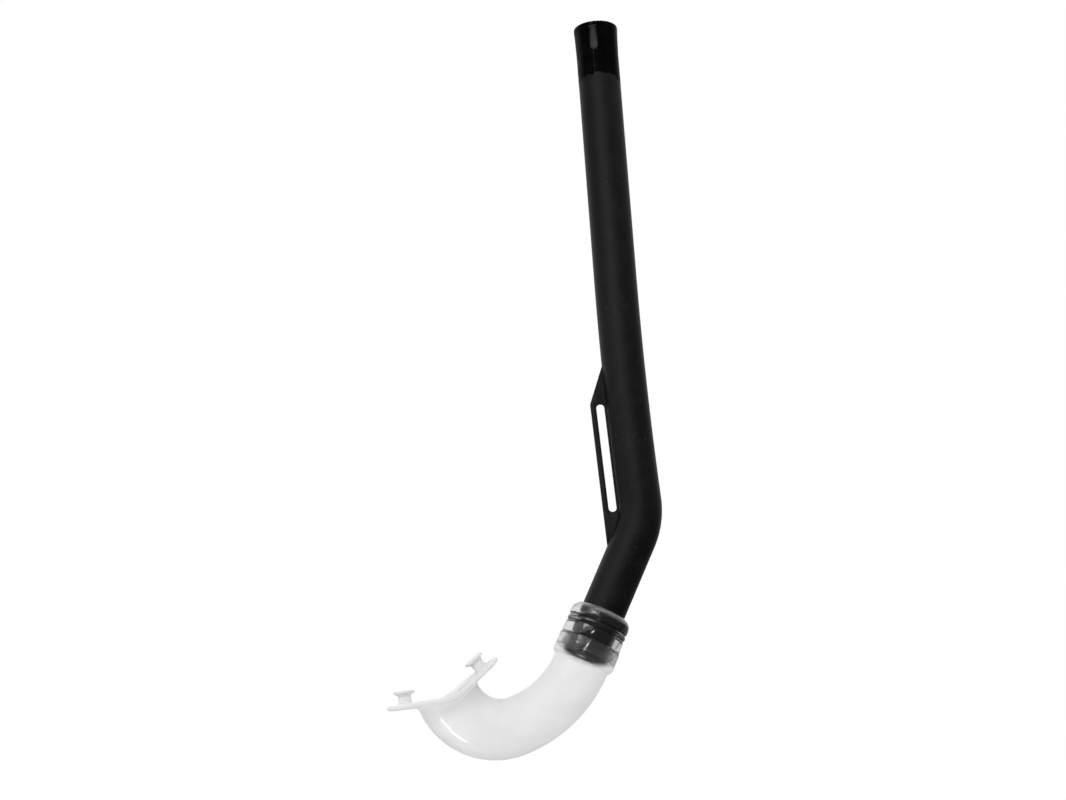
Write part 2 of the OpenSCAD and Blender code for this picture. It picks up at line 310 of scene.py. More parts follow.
def skin(name, rings, closed=True):
    """Closed piece, extruded from ring to ring. Its ends meet each other, or are filled."""
    bpy.ops.object.select_all(action="DESELECT")
    bpy.ops.mesh.primitive_circle_add(vertices=len(rings[0]), radius=tube_r, fill_type="NOTHING")
    piece = bpy.context.object
    piece.name = piece.data.name = name
    bpy.ops.object.mode_set(mode="EDIT")
    bpy.ops.mesh.select_all(action="SELECT")
    place = bmesh.from_edit_mesh(piece.data).verts.layers.int.new("place")
    for v in bmesh.from_edit_mesh(piece.data).verts:
        v[place] = v.index
    route = rings + rings[:1] if closed else rings
    for k, ring in enumerate(route):
        if k:
            bpy.ops.mesh.extrude_edges_move()
        mesh = bmesh.from_edit_mesh(piece.data)
        place = mesh.verts.layers.int["place"]
        for v in mesh.verts:
            if v.select:
                v.co = ring[v[place]]
        bmesh.update_edit_mesh(piece.data)
    if not closed:
        bpy.ops.mesh.select_all(action="SELECT")
        bpy.ops.mesh.region_to_loop()
        bpy.ops.mesh.edge_face_add()
    bpy.ops.mesh.select_all(action="SELECT")
    bpy.ops.mesh.remove_doubles(threshold=RING_WELD)
    if not closed:
        bpy.ops.mesh.select_non_manifold()
        bpy.ops.mesh.fill_holes(sides=0)
        bpy.ops.mesh.select_all(action="SELECT")
    bpy.ops.mesh.normals_make_consistent(inside=False)
    bpy.ops.object.mode_set(mode="OBJECT")
    piece.data.attributes.remove(piece.data.attributes["place"])
    bpy.ops.object.shade_smooth_by_angle(angle=SMOOTH_UNDER)
    return piece


def fused(piece, extra):
    """Piece with another one made part of it, with the slivers along the join taken out."""
    bpy.ops.object.select_all(action="DESELECT")
    bpy.context.view_layer.objects.active = piece
    piece.select_set(True)
    union = piece.modifiers.new("union", "BOOLEAN")
    union.operation = "UNION"
    union.solver = "EXACT"
    union.object = extra
    bpy.ops.object.modifier_apply(modifier=union.name)
    bpy.data.objects.remove(extra)
    bpy.ops.object.mode_set(mode="EDIT")
    bpy.ops.mesh.select_all(action="SELECT")
    bpy.ops.mesh.remove_doubles(threshold=JOIN_WELD)
    bpy.ops.mesh.select_mode(type="FACE")
    bpy.ops.mesh.select_face_by_sides(number=4, type="GREATER", extend=False)
    bpy.ops.mesh.quads_convert_to_tris(quad_method="BEAUTY", ngon_method="BEAUTY")
    bpy.ops.mesh.select_all(action="SELECT")
    bpy.ops.mesh.dissolve_degenerate(threshold=SLIVER)
    bpy.ops.mesh.select_mode(type="VERT")
    bpy.ops.object.mode_set(mode="OBJECT")
    bpy.ops.object.shade_smooth_by_angle(angle=SMOOTH_UNDER)
    return piece


def wear(piece, finish, body, node):
    """Gives a piece its finish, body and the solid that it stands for."""
    piece.data.materials.clear()
    piece.data.materials.append(finish)
    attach(piece, body)
    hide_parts(node)
    return piece


# Barrel
def groove(middle, half, depth):
    """(distance down the tube, radius) through a groove round the barrel."""
    upper, lower = middle - half, middle + half
    floor = tube_r - depth
    return [(upper, tube_r), (upper, floor), (lower, floor), (lower, tube_r)]


def barrel_profile():
    """(distance down the tube, radius) round the wall of the barrel, outside first."""
    seat_r = tube_r + sleeve_proud - sleeve_wall - push_clear
    seal_z = collar_start + collar_len / 2
    snap_z = collar_start + collar_len + skirt_len / 2
    seal_half = seal_cord / 2 + side_clear
    snap_half = snap_w / 2 + side_clear
    outside = [(0, seat_r - edge_round), (edge_round, seat_r), (sleeve_len, seat_r)]
    outside += [(sleeve_len + edge_round / 2, tube_r - edge_round / 2), (sleeve_len + edge_round, tube_r)]
    outside += [(d, tube_r) for d in spread(sleeve_len + FIRST_RING_GAP, bow_start, UPPER_RINGS)]
    outside += [(d, tube_r) for d in spread(bow_start, bend_start, BOW_RINGS)[1:]]
    outside += [(d, tube_r) for d in spread(bend_start, low_start, BEND_RINGS)[1:]]
    outside += [(d, tube_r) for d in spread(low_start, seal_z - seal_half, LOWER_RINGS)[1:-1]]
    outside += groove(seal_z, seal_half, seal_cord) + groove(snap_z, snap_half, snap_depth)
    outside += [(tube_len - edge_round, tube_r), (tube_len, tube_r - edge_round)]
    inside = [(tube_len, bore_r)]
    inside += [(d, bore_r) for d in spread(low_start, bend_start, BEND_RINGS)]
    inside += [(d, bore_r) for d in spread(bend_start, bow_start, BOW_RINGS)[1:]]
    return outside + inside + [(0, bore_r)]


def fin_outline():
    """Edge of the fin in the XZ plane: its free sides, then a line just inside the wall of the tube."""
    edge = -slot_w / 2 - fin_rail
    corner = slot_len / 2 + fin_corner_over
    top = corner + fin_slope
    sag = bow_radius - sqrt(bow_radius ** 2 - top ** 2)
    top_x = slot_to_axis + sag - tube_r
    ramp = atan2(fin_slope, top_x - edge)
    run = fin_corner_round * tan((pi / 2 - ramp) / 2)
    centre = (edge + fin_corner_round, corner - run)
    rounding = arc(centre, fin_corner_round, 180, 90 + degrees(ramp), FIN_CORNER_STEPS)
    over_top = (top_x + fin_root, top + fin_root * tan(ramp))
    inner = tube_r - fin_root
    root_end = collar_start - 2 * collar_len / 3
    root = []
    for distance in spread(bow_start + bow_above - top, root_end, FIN_ROOT_POINTS):
        place = along_tube(distance) @ Vector((-inner, 0, 0))
        if place.z < top and place.x >= edge:
            root.append((place.x, place.z))
    foot = (edge, root[-1][1])
    return rounding + [over_top] + root + [foot]


def reach(start, heading, outline):
    """Where a ray from a point inside an outline first meets it."""
    best = None
    for (x0, z0), (x1, z1) in zip(outline, outline[1:] + outline[:1]):
        ex, ez = x1 - x0, z1 - z0
        cross = heading[0] * ez - heading[1] * ex
        if abs(cross) < PARALLEL:
            continue
        along = ((x0 - start[0]) * ez - (z0 - start[1]) * ex) / cross
        on_edge = ((x0 - start[0]) * heading[1] - (z0 - start[1]) * heading[0]) / cross
        hits = along > 0 and -EDGE_SLACK <= on_edge <= 1 + EDGE_SLACK
        if hits and (best is None or along < best):
            best = along
    return start[0] + heading[0] * best, start[1] + heading[1] * best


def strap_fin():
    """Flat fin with its slot: rings that follow the slot, from its wall out to the fin's edge and back."""
    outline = fin_outline()
    half = (slot_len - slot_w) / 2
    corners = [atan2(z - half, x) for x, z in outline[:FIN_CORNER_STEPS + 2] if z > half]
    top_fan = sorted(set(spread(0, pi, SLOT_END_POINTS) + [a for a in corners if 0 < a < pi]))
    foot = atan2(outline[-1][1] + half, outline[-1][0])
    low_fan = sorted(set(spread(pi, 2 * pi, SLOT_END_POINTS) + [foot % (2 * pi)]))
    rays = [((0, half), a) for a in top_fan]
    rays += [((0, z), pi) for z in spread(half, -half, SLOT_SIDE_POINTS)[1:-1]]
    rays += [((0, -half), a) for a in low_fan]
    rays += [((0, z), 0) for z in spread(-half, half, SLOT_SIDE_POINTS)[1:-1]]
    slot, edge = [], []
    for start, a in rays:
        heading = (cos(a), sin(a))
        slot.append(Vector((start[0] + heading[0] * slot_w / 2, 0, start[1] + heading[1] * slot_w / 2)))
        x, z = reach(start, heading, outline)
        edge.append(Vector((x, 0, z)))
    slot_lip = [s + (e - s).normalized() * fin_edge_round for s, e in zip(slot, edge)]
    edge_lip = [e + (s - e).normalized() * fin_edge_round for s, e in zip(slot, edge)]
    face = fin_thick / 2
    shy = face - fin_edge_round
    between = fin_edge_round * round_middle

    def at(ring, y):
        """Ring moved off the middle of the fin."""
        return [p + Vector((0, y, 0)) for p in ring]

    def mixed(ring, other, share):
        """Ring between two rings."""
        return [p.lerp(q, share) for p, q in zip(ring, other)]

    rings = []
    for side in (-1, 1):
        rim = [at(slot, side * shy), at(mixed(slot, slot_lip, round_middle), side * (face - between)),
               at(slot_lip, side * face), at(edge_lip, side * face),
               at(mixed(edge, edge_lip, round_middle), side * (face - between)), at(edge, side * shy)]
        rings += rim if side < 0 else rim[::-1]
    return skin("strap_fin", rings)


def barrel(finish):
    """Bent tube with its seat, grooves and strap fin, as one moulding."""
    rings = [circle(along_tube(d), r, TUBE_SIDES) for d, r in barrel_profile()]
    piece = fused(skin("barrel_moulding", rings), strap_fin())
    return wear(piece, finish, "tube", "barrel")


# Top sleeve
def drip(angle):
    """How far the sleeve's feather edge runs down the tube, at an angle round it."""
    run = drip_mean
    for times, phase, share in drip_waves:
        run += share * sin(times * angle + phase)
    for times, phase, share in drip_runs:
        run += share * max(sin(times * angle + phase), 0) ** run_power
    return sleeve_drip * run


def top_sleeve(finish):
    """Rim guard with a rounded bead. Its lower edge thins to a skin that runs out unevenly on the tube."""
    inner = tube_r + sleeve_proud - sleeve_wall
    skin_r = tube_r + sleeve_skin
    bead_r = tube_r + sleeve_proud + bead_proud
    rim_top = rim_thick + push_clear
    bead_round = (bead_proud + sleeve_wall) / 2
    foot = run_clear - sleeve_len
    profile = [(skin_r, foot), (inner, foot), (inner, push_clear), (bore_r, push_clear)]
    profile += arc((bore_r + rim_thick / 2, rim_top - rim_thick / 2), rim_thick / 2, 180, 90, RIM_STEPS)
    profile += arc((bead_r - bead_round, rim_top - bead_round), bead_round, 90, 0, BEAD_STEPS)
    profile += arc((bead_r - bead_proud, rim_top - bead_h), bead_proud, 0, -bead_tuck_deg, BEAD_TUCK_STEPS)
    flare_r, flare_z = profile[-1]
    waist = skin_r + sleeve_skin
    for s in spread(0, 1, FLARE_RINGS)[1:]:
        profile.append((flare_r + (waist - flare_r) * s, flare_z - sleeve_flare * s))
    profile += [(waist, z) for z in spread(flare_z - sleeve_flare - waist_gap, foot, WAIST_RINGS)]
    rings = turned(along_tube(0), profile, TUBE_SIDES)
    for radius in (skin_r + 2 * sleeve_skin, skin_r):
        ring = []
        for a in round_angles(TUBE_SIDES):
            ring.append(along_tube(0) @ Vector((radius * cos(a), radius * sin(a), foot - drip(a))))
        rings.append(ring)
    return wear(skin("top_sleeve_gloss", rings), finish, "tube", "top_sleeve")


# Swivel collar
collar_bore = tube_r + run_clear
collar_r = collar_bore + collar_wall
skirt_r = collar_bore + skirt_wall
skirt_end = -collar_len - skirt_len
lip_h = skirt_wall


def crowned_band(top, bottom):
    """(radius, height) down a band of the collar, with a slight crown."""
    points = []
    for s in spread(0, 1, BAND_POINTS):
        points.append((collar_r + band_crown * (1 - (2 * s - 1) ** 2), top + (bottom - top) * s))
    return points


def swivel_collar(finish):
    """Turned collar: round shoulder, crowned bands and the grooves between, lipped skirt and snap rib."""
    shoulder = collar_wall - shoulder_land
    snap_z = -collar_len - skirt_len / 2
    profile = [(collar_bore, 0)] + arc((collar_r - shoulder, -shoulder), shoulder, 90, 0, SHOULDER_STEPS)
    band_top = -shoulder
    for k in range(1, grooves + 1):
        z = -shoulder - k * groove_pitch
        profile += crowned_band(band_top, z + groove_r + edge_round)
        first, last = 180 - groove_half_deg, 180 + groove_half_deg
        profile += arc((collar_r + edge_round, z), groove_r + edge_round, first, last, GROOVE_STEPS)
        band_top = z - groove_r - edge_round
    foot_round = 2 * edge_round
    foot_centre = (collar_r - foot_round, -collar_len + foot_round)
    profile += crowned_band(band_top, -collar_len + foot_round)
    profile += arc(foot_centre, foot_round, 0, -90, COLLAR_EDGE_STEPS)
    profile += [(skirt_r, -collar_len), (skirt_r, skirt_end + 2 * lip_h)]
    profile += [(skirt_r + lip_proud, skirt_end + lip_h), (skirt_r, skirt_end), (collar_bore, skirt_end)]
    snap_r = collar_bore - snap_depth
    snap_land = (snap_w - snap_depth) / 2
    profile += [(collar_bore, snap_z - snap_w / 2), (snap_r, snap_z - snap_land)]
    profile += [(snap_r, snap_z + snap_land), (collar_bore, snap_z + snap_w / 2)]
    rings = turned(collar_frame, profile, TUBE_SIDES)
    return wear(skin("swivel_collar_clear", rings), finish, "mouth", "swivel_collar")


# Mouthpiece
grip_r = skirt_r + push_clear
cuff_r = grip_r + cuff_wall
cuff_bottom = -spigot_end - cuff_below
elbow_turn = elbow_turn_1 + elbow_turn_2
elbow_bore_r = tube_r + throat_gap
throat_r = elbow_bore_r + throat_step
elbow_start = elbow_bore_r + elbow_wall
limb_start = shield_radius * sin(limb_angle)
limb_rise = shield_radius * (1 - cos(limb_angle))
limb_len = (shield_w / 2 - limb_start) / cos(limb_angle)
mouth_base = collar_frame @ Matrix.Rotation(mouth_turn, 4, "Z")


def elbow_place(turn):
    """Frame on the elbow's centre line, which runs straight past the mouth: +X across the J, -Z ahead."""
    ahead = max(turn - elbow_turn, 0) * elbow_radius_2
    turn = min(turn, elbow_turn)
    if turn <= elbow_turn_1:
        x, z = elbow_radius_1 * (cos(turn) - 1), -elbow_radius_1 * sin(turn)
    else:
        inward = elbow_radius_1 - elbow_radius_2
        x = inward * cos(elbow_turn_1) - elbow_radius_1 + elbow_radius_2 * cos(turn)
        z = -inward * sin(elbow_turn_1) - elbow_radius_2 * sin(turn)
    place = Matrix.Translation((x, 0, cuff_bottom + z)) @ Matrix.Rotation(turn, 4, "Y")
    return mouth_base @ place @ Matrix.Translation((0, 0, -ahead))


def elbow_half(turn):
    """Half width and half height of the elbow outside, after a turn."""
    u = min(max(turn / elbow_turn, 0), 1)
    ease = u * u * (3 - 2 * u)
    half_w = elbow_start + (mouth_w / 2 - elbow_start) * ease
    half_h = elbow_start + (mouth_h / 2 - elbow_start) * ease
    return half_w, half_h


def elbow_point(turn, angle, inset):
    """Point of the elbow's outside after a turn, or of a wall inside it."""
    half_w, half_h = elbow_half(turn)
    return elbow_place(turn) @ Vector(((half_w - inset) * cos(angle), (half_h - inset) * sin(angle), 0))


def shield_front(across):
    """How far the shield's front face stands ahead of its middle, at a distance across it."""
    across = abs(across)
    if across <= limb_start:
        return shield_radius - sqrt(shield_radius ** 2 - across ** 2)
    return limb_rise + (across - limb_start) * tan(limb_angle)


mouth_place = elbow_place(elbow_turn)


def shield_point(half_w, half_h, power, angle, lift):
    """Point over the shield's front face, on an oval round the mouth."""
    across, up = oval(half_w, half_h, power, angle)
    dish = shield_dish * max(2 * abs(up) - mouth_h, 0) ** 2 / (shield_h - mouth_h) ** 2
    return mouth_place @ Vector((across, up, -shield_front(across) - lift - dish))


def elbow_rings(inset, gap, lift, count):
    """Rings of the elbow's wall, from the cuff to a gap short of a level over the shield's front face."""
    ends = []
    for a in round_angles(MOUTH_SIDES):
        ahead = shield_front((mouth_w / 2 - inset) * cos(a)) + lift - gap
        ends.append(elbow_turn + ahead / elbow_radius_2)
    rings = []
    for share in spread(0, 1, count):
        ring = [elbow_point(end * share, a, inset) for a, end in zip(round_angles(MOUTH_SIDES), ends)]
        rings.append(ring)
    return rings


def shield_ring(half_w, half_h, power, lift):
    """Ring over the shield's front face, round the mouth."""
    return [shield_point(half_w, half_h, power, a, lift) for a in round_angles(MOUTH_SIDES)]


def shield_rings():
    """Rings of the shield: fillet at its root, back, round rim, front and the lip of the bore."""
    outer_w, outer_h = mouth_w / 2, mouth_h / 2
    inner_w, inner_h = outer_w - elbow_wall, outer_h - elbow_wall
    rim = shield_thick / 2
    rings = []
    for f in spread(fillet_start_deg, 90, ROOT_FILLET_RINGS):
        out = root_fillet * (1 - cos(radians(f)))
        down = root_fillet * (1 - sin(radians(f)))
        rings.append(shield_ring(outer_w + out, outer_h + out, 2, -shield_thick - down))
    wide, high = shield_w / 2 - rim, shield_h / 2 - rim
    first_w, first_h = outer_w + root_fillet, outer_h + root_fillet
    for s in spread(0, 1, SHIELD_BACK_RINGS)[1:]:
        half_w, half_h = first_w + (wide - first_w) * s, first_h + (high - first_h) * s
        rings.append(shield_ring(half_w, half_h, 2 + (shield_power - 2) * s, -shield_thick))
    for f in spread(-90, 90, SHIELD_RIM_RINGS)[1:-1]:
        out = rim * cos(radians(f))
        rings.append(shield_ring(wide + out, high + out, shield_power, -rim + rim * sin(radians(f))))
    last_w, last_h = inner_w + lip_round, inner_h + lip_round
    for s in spread(0, 1, SHIELD_FRONT_RINGS):
        half_w, half_h = wide + (last_w - wide) * s, high + (last_h - high) * s
        rings.append(shield_ring(half_w, half_h, shield_power + (2 - shield_power) * s, 0))
    for f in spread(0, 90, BORE_LIP_RINGS)[1:-1]:
        out = lip_round * (1 - sin(radians(f)))
        rings.append(shield_ring(inner_w + out, inner_h + out, 2, -lip_round * (1 - cos(radians(f)))))
    return rings


def cuff_profile():
    """(radius, height) of the cuff, outside and inside, down to the elbow."""
    top = -collar_len - push_clear
    shelf = skirt_end - push_clear
    outside = arc((cuff_r - cuff_edge, top - cuff_edge), cuff_edge, 90, 0, CUFF_EDGE_STEPS)
    low_centre = (cuff_r - cuff_round, cuff_bottom + cuff_round)
    outside += arc(low_centre, cuff_round, 0, -cuff_round_deg, CUFF_ROUND_STEPS)
    inside = [(elbow_bore_r, cuff_bottom + throat_step), (throat_r, cuff_bottom + 2 * throat_step)]
    inside += [(throat_r, shelf), (grip_r, shelf), (grip_r + lip_proud, skirt_end + lip_h)]
    inside += [(grip_r, skirt_end + 2 * lip_h + push_clear), (grip_r, top)]
    return outside, inside


def bite_tab(side):
    """T shaped lug on one limb of the shield, from inside the shield to its flat head."""
    limb = Matrix.Translation((side * limb_start, 0, -limb_rise))
    limb = limb @ Matrix.Rotation(side * limb_angle, 4, "Y")
    place = mouth_place @ limb @ Matrix.Translation((side * (limb_len - tab_inset), 0, shield_thick / 2))
    neck_w, neck_t = tab_neck_w / 2, tab_neck_t / 2
    head_w, head_t = tab_head_w / 2, tab_head_t / 2
    flare = head_w - neck_w
    top = tab_out + shield_thick / 2
    edge = top - 2 * tab_round
    profile = [(0, tab_foot / flare, 0)]
    for f in spread(0, 90, TAB_FOOT_RINGS):
        out = tab_foot * (1 - sin(radians(f))) / flare
        profile.append((shield_thick / 2 + tab_foot * (1 - cos(radians(f))), out, 0))
    for f in spread(0, 90, TAB_FILLET_RINGS):
        out = tab_fillet * (1 - cos(radians(f))) / flare
        profile.append((edge - tab_undercut - tab_fillet * (1 - sin(radians(f))), out, 0))
    for f in spread(-90, 90, TAB_RIM_RINGS):
        profile.append((edge + tab_round * (1 + sin(radians(f))), 1, tab_round * (1 - cos(radians(f)))))
    profile.append((top - tab_ring_depth * tab_dish, tab_ring_out, 0))
    profile += [(top - tab_dish, tab_floor_out, inset) for inset in (0, neck_t / 2)]
    rings = []
    for z, share, inset in profile:
        half_w = neck_w + flare * share - inset
        half_t = neck_t + (head_t - neck_t) * share - inset
        points = [oval(half_w, half_t, tab_power, a) for a in round_angles(TAB_SIDES)]
        rings.append([place @ Vector((x, y, -z)) for x, y in points])
    return skin("bite_tab", rings, closed=False)


def mouthpiece(finish):
    """Cuff, elbow, lip shield and bite tabs as one moulding, with its bore open all the way."""
    outside, inside = cuff_profile()
    rings = turned(mouth_base, outside, MOUTH_SIDES)
    rings += elbow_rings(0, root_fillet, -shield_thick, ELBOW_RINGS)
    rings += shield_rings()
    rings += elbow_rings(elbow_wall, lip_round, 0, ELBOW_BORE_RINGS)[::-1]
    rings += turned(mouth_base, inside, MOUTH_SIDES)
    piece = skin("mouthpiece_silicone", rings)
    for side in (-1, 1):
        piece = fused(piece, bite_tab(side))
    return wear(piece, finish, "mouth", "mouthpiece")


# Collar seal
def collar_seal(finish):
    """Ring in the barrel's groove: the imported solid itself, with its finish."""
    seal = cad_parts["collar_seal"]
    seal.data.materials.clear()
    seal.data.materials.append(finish)


# Finishes, and the sockets of a Mix node that carry colours
MIX_SHARE = 0
MIX_FIRST = 6
MIX_SECOND = 7
MIX_RESULT = 2


class Value:
    """Socket of a finish. Plain arithmetic on it adds Math nodes."""

    def __init__(self, finish, socket):
        self.finish = finish
        self.socket = socket

    def math(self, operation, first, second):
        """Result of a Math node."""
        return self.finish.node("ShaderNodeMath", {"operation": operation}, {0: first, 1: second})

    def __add__(self, other):
        return self.math("ADD", self, other)

    def __radd__(self, other):
        return self.math("ADD", other, self)

    def __sub__(self, other):
        return self.math("SUBTRACT", self, other)

    def __rsub__(self, other):
        return self.math("SUBTRACT", other, self)

    def __mul__(self, other):
        return self.math("MULTIPLY", self, other)

    def __rmul__(self, other):
        return self.math("MULTIPLY", other, self)


class Finish:
    """Procedural nodes of a material, or of the world."""

    def __init__(self, owner, place="Object"):
        self.owner = owner
        owner.use_nodes = True
        self.tree = owner.node_tree
        self.tree.nodes.clear()
        self.place = self.node("ShaderNodeTexCoord", output=place)

    def node(self, kind, settings=None, inputs=None, output=0):
        """Adds a node with its settings, and values or links on its sockets. Returns one of its outputs."""
        made = self.tree.nodes.new(kind)
        for key, value in (settings or {}).items():
            setattr(made, key, value)
        for key, value in (inputs or {}).items():
            if isinstance(value, Value):
                self.tree.links.new(value.socket, made.inputs[key])
            else:
                made.inputs[key].default_value = value
        return Value(self, made.outputs[output]) if made.outputs else None

    def noise(self, size, detail=2):
        """Noise whose lumps are about as wide as size, in metres."""
        sockets = {"Vector": self.place, "Scale": 1 / size, "Detail": detail}
        return self.node("ShaderNodeTexNoise", {"noise_dimensions": "3D"}, sockets)

    def band(self, value, low, high):
        """Value turned into 0 below low, 1 above high and a smooth rise between."""
        sockets = {"Value": value, "From Min": low, "From Max": high}
        return self.node("ShaderNodeMapRange", {"interpolation_type": "SMOOTHSTEP"}, sockets)

    def dot(self, heading):
        """Length of the place along a direction."""
        sockets = {0: self.place, 1: heading}
        return self.node("ShaderNodeVectorMath", {"operation": "DOT_PRODUCT"}, sockets, "Value")

    def along(self, place, axis):
        """Distance along one axis of a frame."""
        heading = place.to_3x3().col[axis].copy()
        return self.dot(heading) - place.translation.dot(heading)

    def blend(self, share, first, second):
        """Colour between two colours."""
        sockets = {MIX_SHARE: share, MIX_FIRST: first, MIX_SECOND: second}
        return self.node("ShaderNodeMix", {"data_type": "RGBA"}, sockets, MIX_RESULT)

    def bump(self, height, distance, strength):
        """Normal of a surface with fine relief."""
        sockets = {"Height": height, "Distance": distance, "Strength": strength}
        return self.node("ShaderNodeBump", inputs=sockets)

    def shader(self, **sockets):
        """Principled shader with these sockets."""
        named = {key.replace("_", " "): value for key, value in sockets.items()}
        return self.node("ShaderNodeBsdfPrincipled", inputs=named)

    def mixed(self, share, first, second):
        """Shader between two shaders."""
        return self.node("ShaderNodeMixShader", inputs={0: share, 1: first, 2: second})

    def done(self, surface, output="ShaderNodeOutputMaterial"):
        """Ends the nodes in a shader, and returns what they belong to."""
        self.node(output, inputs={"Surface": surface})
        return self.owner


def material(name):
    """Nodes of a new material."""
    return Finish(bpy.data.materials.new(name))


def grey(level, warmth=0.0):
    """Grey of a level, warmed a little towards red."""
    return (level * (1 + warmth), level, level * (1 - warmth), 1)


def levels(height, edge):
    """Heights at the two sides of a soft edge."""
    return [height + step for step in edge]


def radii(radius, edge):
    """Squares of the radii at the two sides of a soft edge."""
    return [(radius + step) ** 2 for step in edge]


def matte_black():
    """Moulded black plastic: fine grain, faint cloudiness and a few pale specks."""
    f = material("matte_black")
    grain = f.noise(size=0.45 * MM, detail=3)
    cloud = f.noise(size=9 * MM, detail=3)
    spots = f.band(f.noise(size=0.8 * MM, detail=0), *speck_edge)
    patches = f.band(f.noise(size=14 * MM), *speck_patch_edge)
    base = f.blend(f.band(cloud, *cloud_edge), grey(0.003), grey(0.0048))
    colour = f.blend(spots * patches * speck_share, base, grey(0.06))
    rough = 0.42 + 0.12 * grain + 0.06 * cloud
    return f.done(f.shader(Base_Color=colour, Roughness=rough, Specular_IOR_Level=0.13,
                           Normal=f.bump(grain, distance=0.03 * MM, strength=0.5)))


def gloss_black():
    """Polished black plastic with faint smears and handling marks."""
    f = material("gloss_black")
    smear = f.noise(size=5 * MM, detail=4)
    fine = f.noise(size=0.6 * MM, detail=2)
    colour = f.blend(f.band(smear, *smear_edge), grey(0.0006), grey(0.0016))
    polish = 0.13 + 0.06 * f.band(smear, *polish_edge) + 0.03 * fine
    return f.done(f.shader(Base_Color=colour, Roughness=0.6, Specular_IOR_Level=0.0,
                           Coat_Weight=polish, Coat_Roughness=0.06,
                           Normal=f.bump(smear, distance=0.03 * MM, strength=0.2)))


def clear_plastic():
    """Clear plastic with a little haze, a painted highlight on its shoulder and painted shade in its
    grooves.

    Most of its bore is painted dark as shade, in place of the black tube that it lies close on.
    """
    f = material("clear_plastic")
    wave = f.noise(size=6 * MM, detail=2)
    haze = f.noise(size=1.5 * MM, detail=3)
    across, through, height = (f.along(collar_frame, axis) for axis in range(3))
    off_axis = across * across + through * through
    in_cuff = 1 - f.band(height, *levels(-collar_len, cuff_blend))
    clear = f.shader(Base_Color=f.blend(wave, grey(0.6, 0.002), grey(0.7)),
                     Roughness=0.06 + 0.05 * haze + 0.14 * in_cuff, IOR=1.49,
                     Transmission_Weight=0.985, Normal=f.bump(wave, distance=0.05 * MM, strength=0.1))
    # Near-black finish for the painted shade on the bore and in the grooves
    dark = f.shader(Base_Color=f.blend(haze, grey(0.004), grey(0.009)),
                    Roughness=0.4, Specular_IOR_Level=0.1)
    # Painted shade: the bore is painted dark in place of the black tube seen through it, except at unshaded
    # zones on the left, on the right and at the skirt's end
    near_bore = 1 - f.band(off_axis, *radii(collar_bore, bore_shade_depth))
    left_unshaded = 1 - f.band(across + left_unshaded_waver * wave, *left_unshaded_edge)
    right_unshaded = f.band(across, *right_unshaded_edge) * (1 - f.band(height, *right_unshaded_top))
    painted_dark_bore = (1 - left_unshaded) * (1 - right_unshaded) * f.band(height, *levels(skirt_end, skirt_shade_edge))
    outer = f.band(off_axis, *radii(collar_r, groove_floor))
    in_groove = outer * (1 - f.band(off_axis, *radii(collar_r, groove_lip)))
    # Painted shade: dark lines in the grooves below the shoulder
    groove_shade = in_groove * (1 - f.band(height, *levels(-collar_wall, shoulder_gap))) * painted_shade_share
    # Painted highlight: a pale grey band round the shoulder, in place of a reflection of light from above
    sheen_share = f.band(height, *sheen_edge) * (1 - near_bore) * (0.12 + 0.22 * wave)
    painted_sheen = f.shader(Base_Color=f.blend(haze, grey(0.45), grey(0.6)),
                     Roughness=0.4, Specular_IOR_Level=0.3)
    return f.done(f.mixed(near_bore * painted_dark_bore + groove_shade, f.mixed(sheen_share, clear, painted_sheen), dark))


def silicone():
    """Translucent silicone: clear round the cuff, frosted and milky from the elbow on.

    The lower part of the elbow is polished, and painted shade darkens a thin line at the seam with the
    collar.
    """
    f = material("silicone")
    cloud = f.noise(size=12 * MM, detail=3)
    fine = f.noise(size=0.9 * MM, detail=2)
    across, through, height = (f.along(collar_frame, axis) for axis in range(3))
    off_axis = across * across + through * through
    wavering = height + frost_waver * cloud
    scallop = across * across * (1 / frost_scallop)
    gripping = 1 - f.band(off_axis, *radii(grip_r + lip_proud, grip_blend))
    frost = 1 - f.band(wavering - scallop, *levels(cuff_bottom, frost_edge))
    clear = f.shader(Base_Color=f.blend(cloud, grey(0.68, 0.002), grey(0.76)),
                     Roughness=0.1 + 0.04 * cloud + 0.11 * gripping, IOR=1.41,
                     Transmission_Weight=0.98, Normal=f.bump(cloud, distance=0.1 * MM, strength=0.3))
    polished = f.band(f.along(mouth_place, 2), *mouth_polish) * (1 - f.band(wavering, *elbow_polish))
    milky = f.shader(Base_Color=f.blend(f.band(cloud, *cloud_edge), grey(0.86, 0.002), grey(0.9)),
                     Roughness=0.44 + 0.06 * cloud, IOR=1.41, Specular_IOR_Level=0.15,
                     Transmission_Weight=0.25, Coat_Weight=0.5 * polished, Coat_Roughness=0.03,
                     Normal=f.bump(fine, distance=0.02 * MM, strength=0.2))
    # Painted shade: a dark thin line where the cuff meets the collar
    seam_shade = f.band(height, *levels(-collar_len, seam_shade_edge)) * painted_shade_share
    dark = f.shader(Base_Color=f.blend(fine, grey(0.01), grey(0.03)),
                    Roughness=0.5, Specular_IOR_Level=0.2)
    return f.done(f.mixed(seam_shade, f.mixed(frost, clear, milky), dark))


def seal_rubber():
    """Dull black rubber with a fine grain."""
    f = material("seal_rubber")
    grain = f.noise(size=0.3 * MM, detail=3)
    colour = f.blend(grain, grey(0.008), grey(0.02))
    return f.done(f.shader(Base_Color=colour, Roughness=0.55 + 0.2 * grain, Specular_IOR_Level=0.3,
                           Normal=f.bump(grain, distance=0.03 * MM, strength=0.4)))


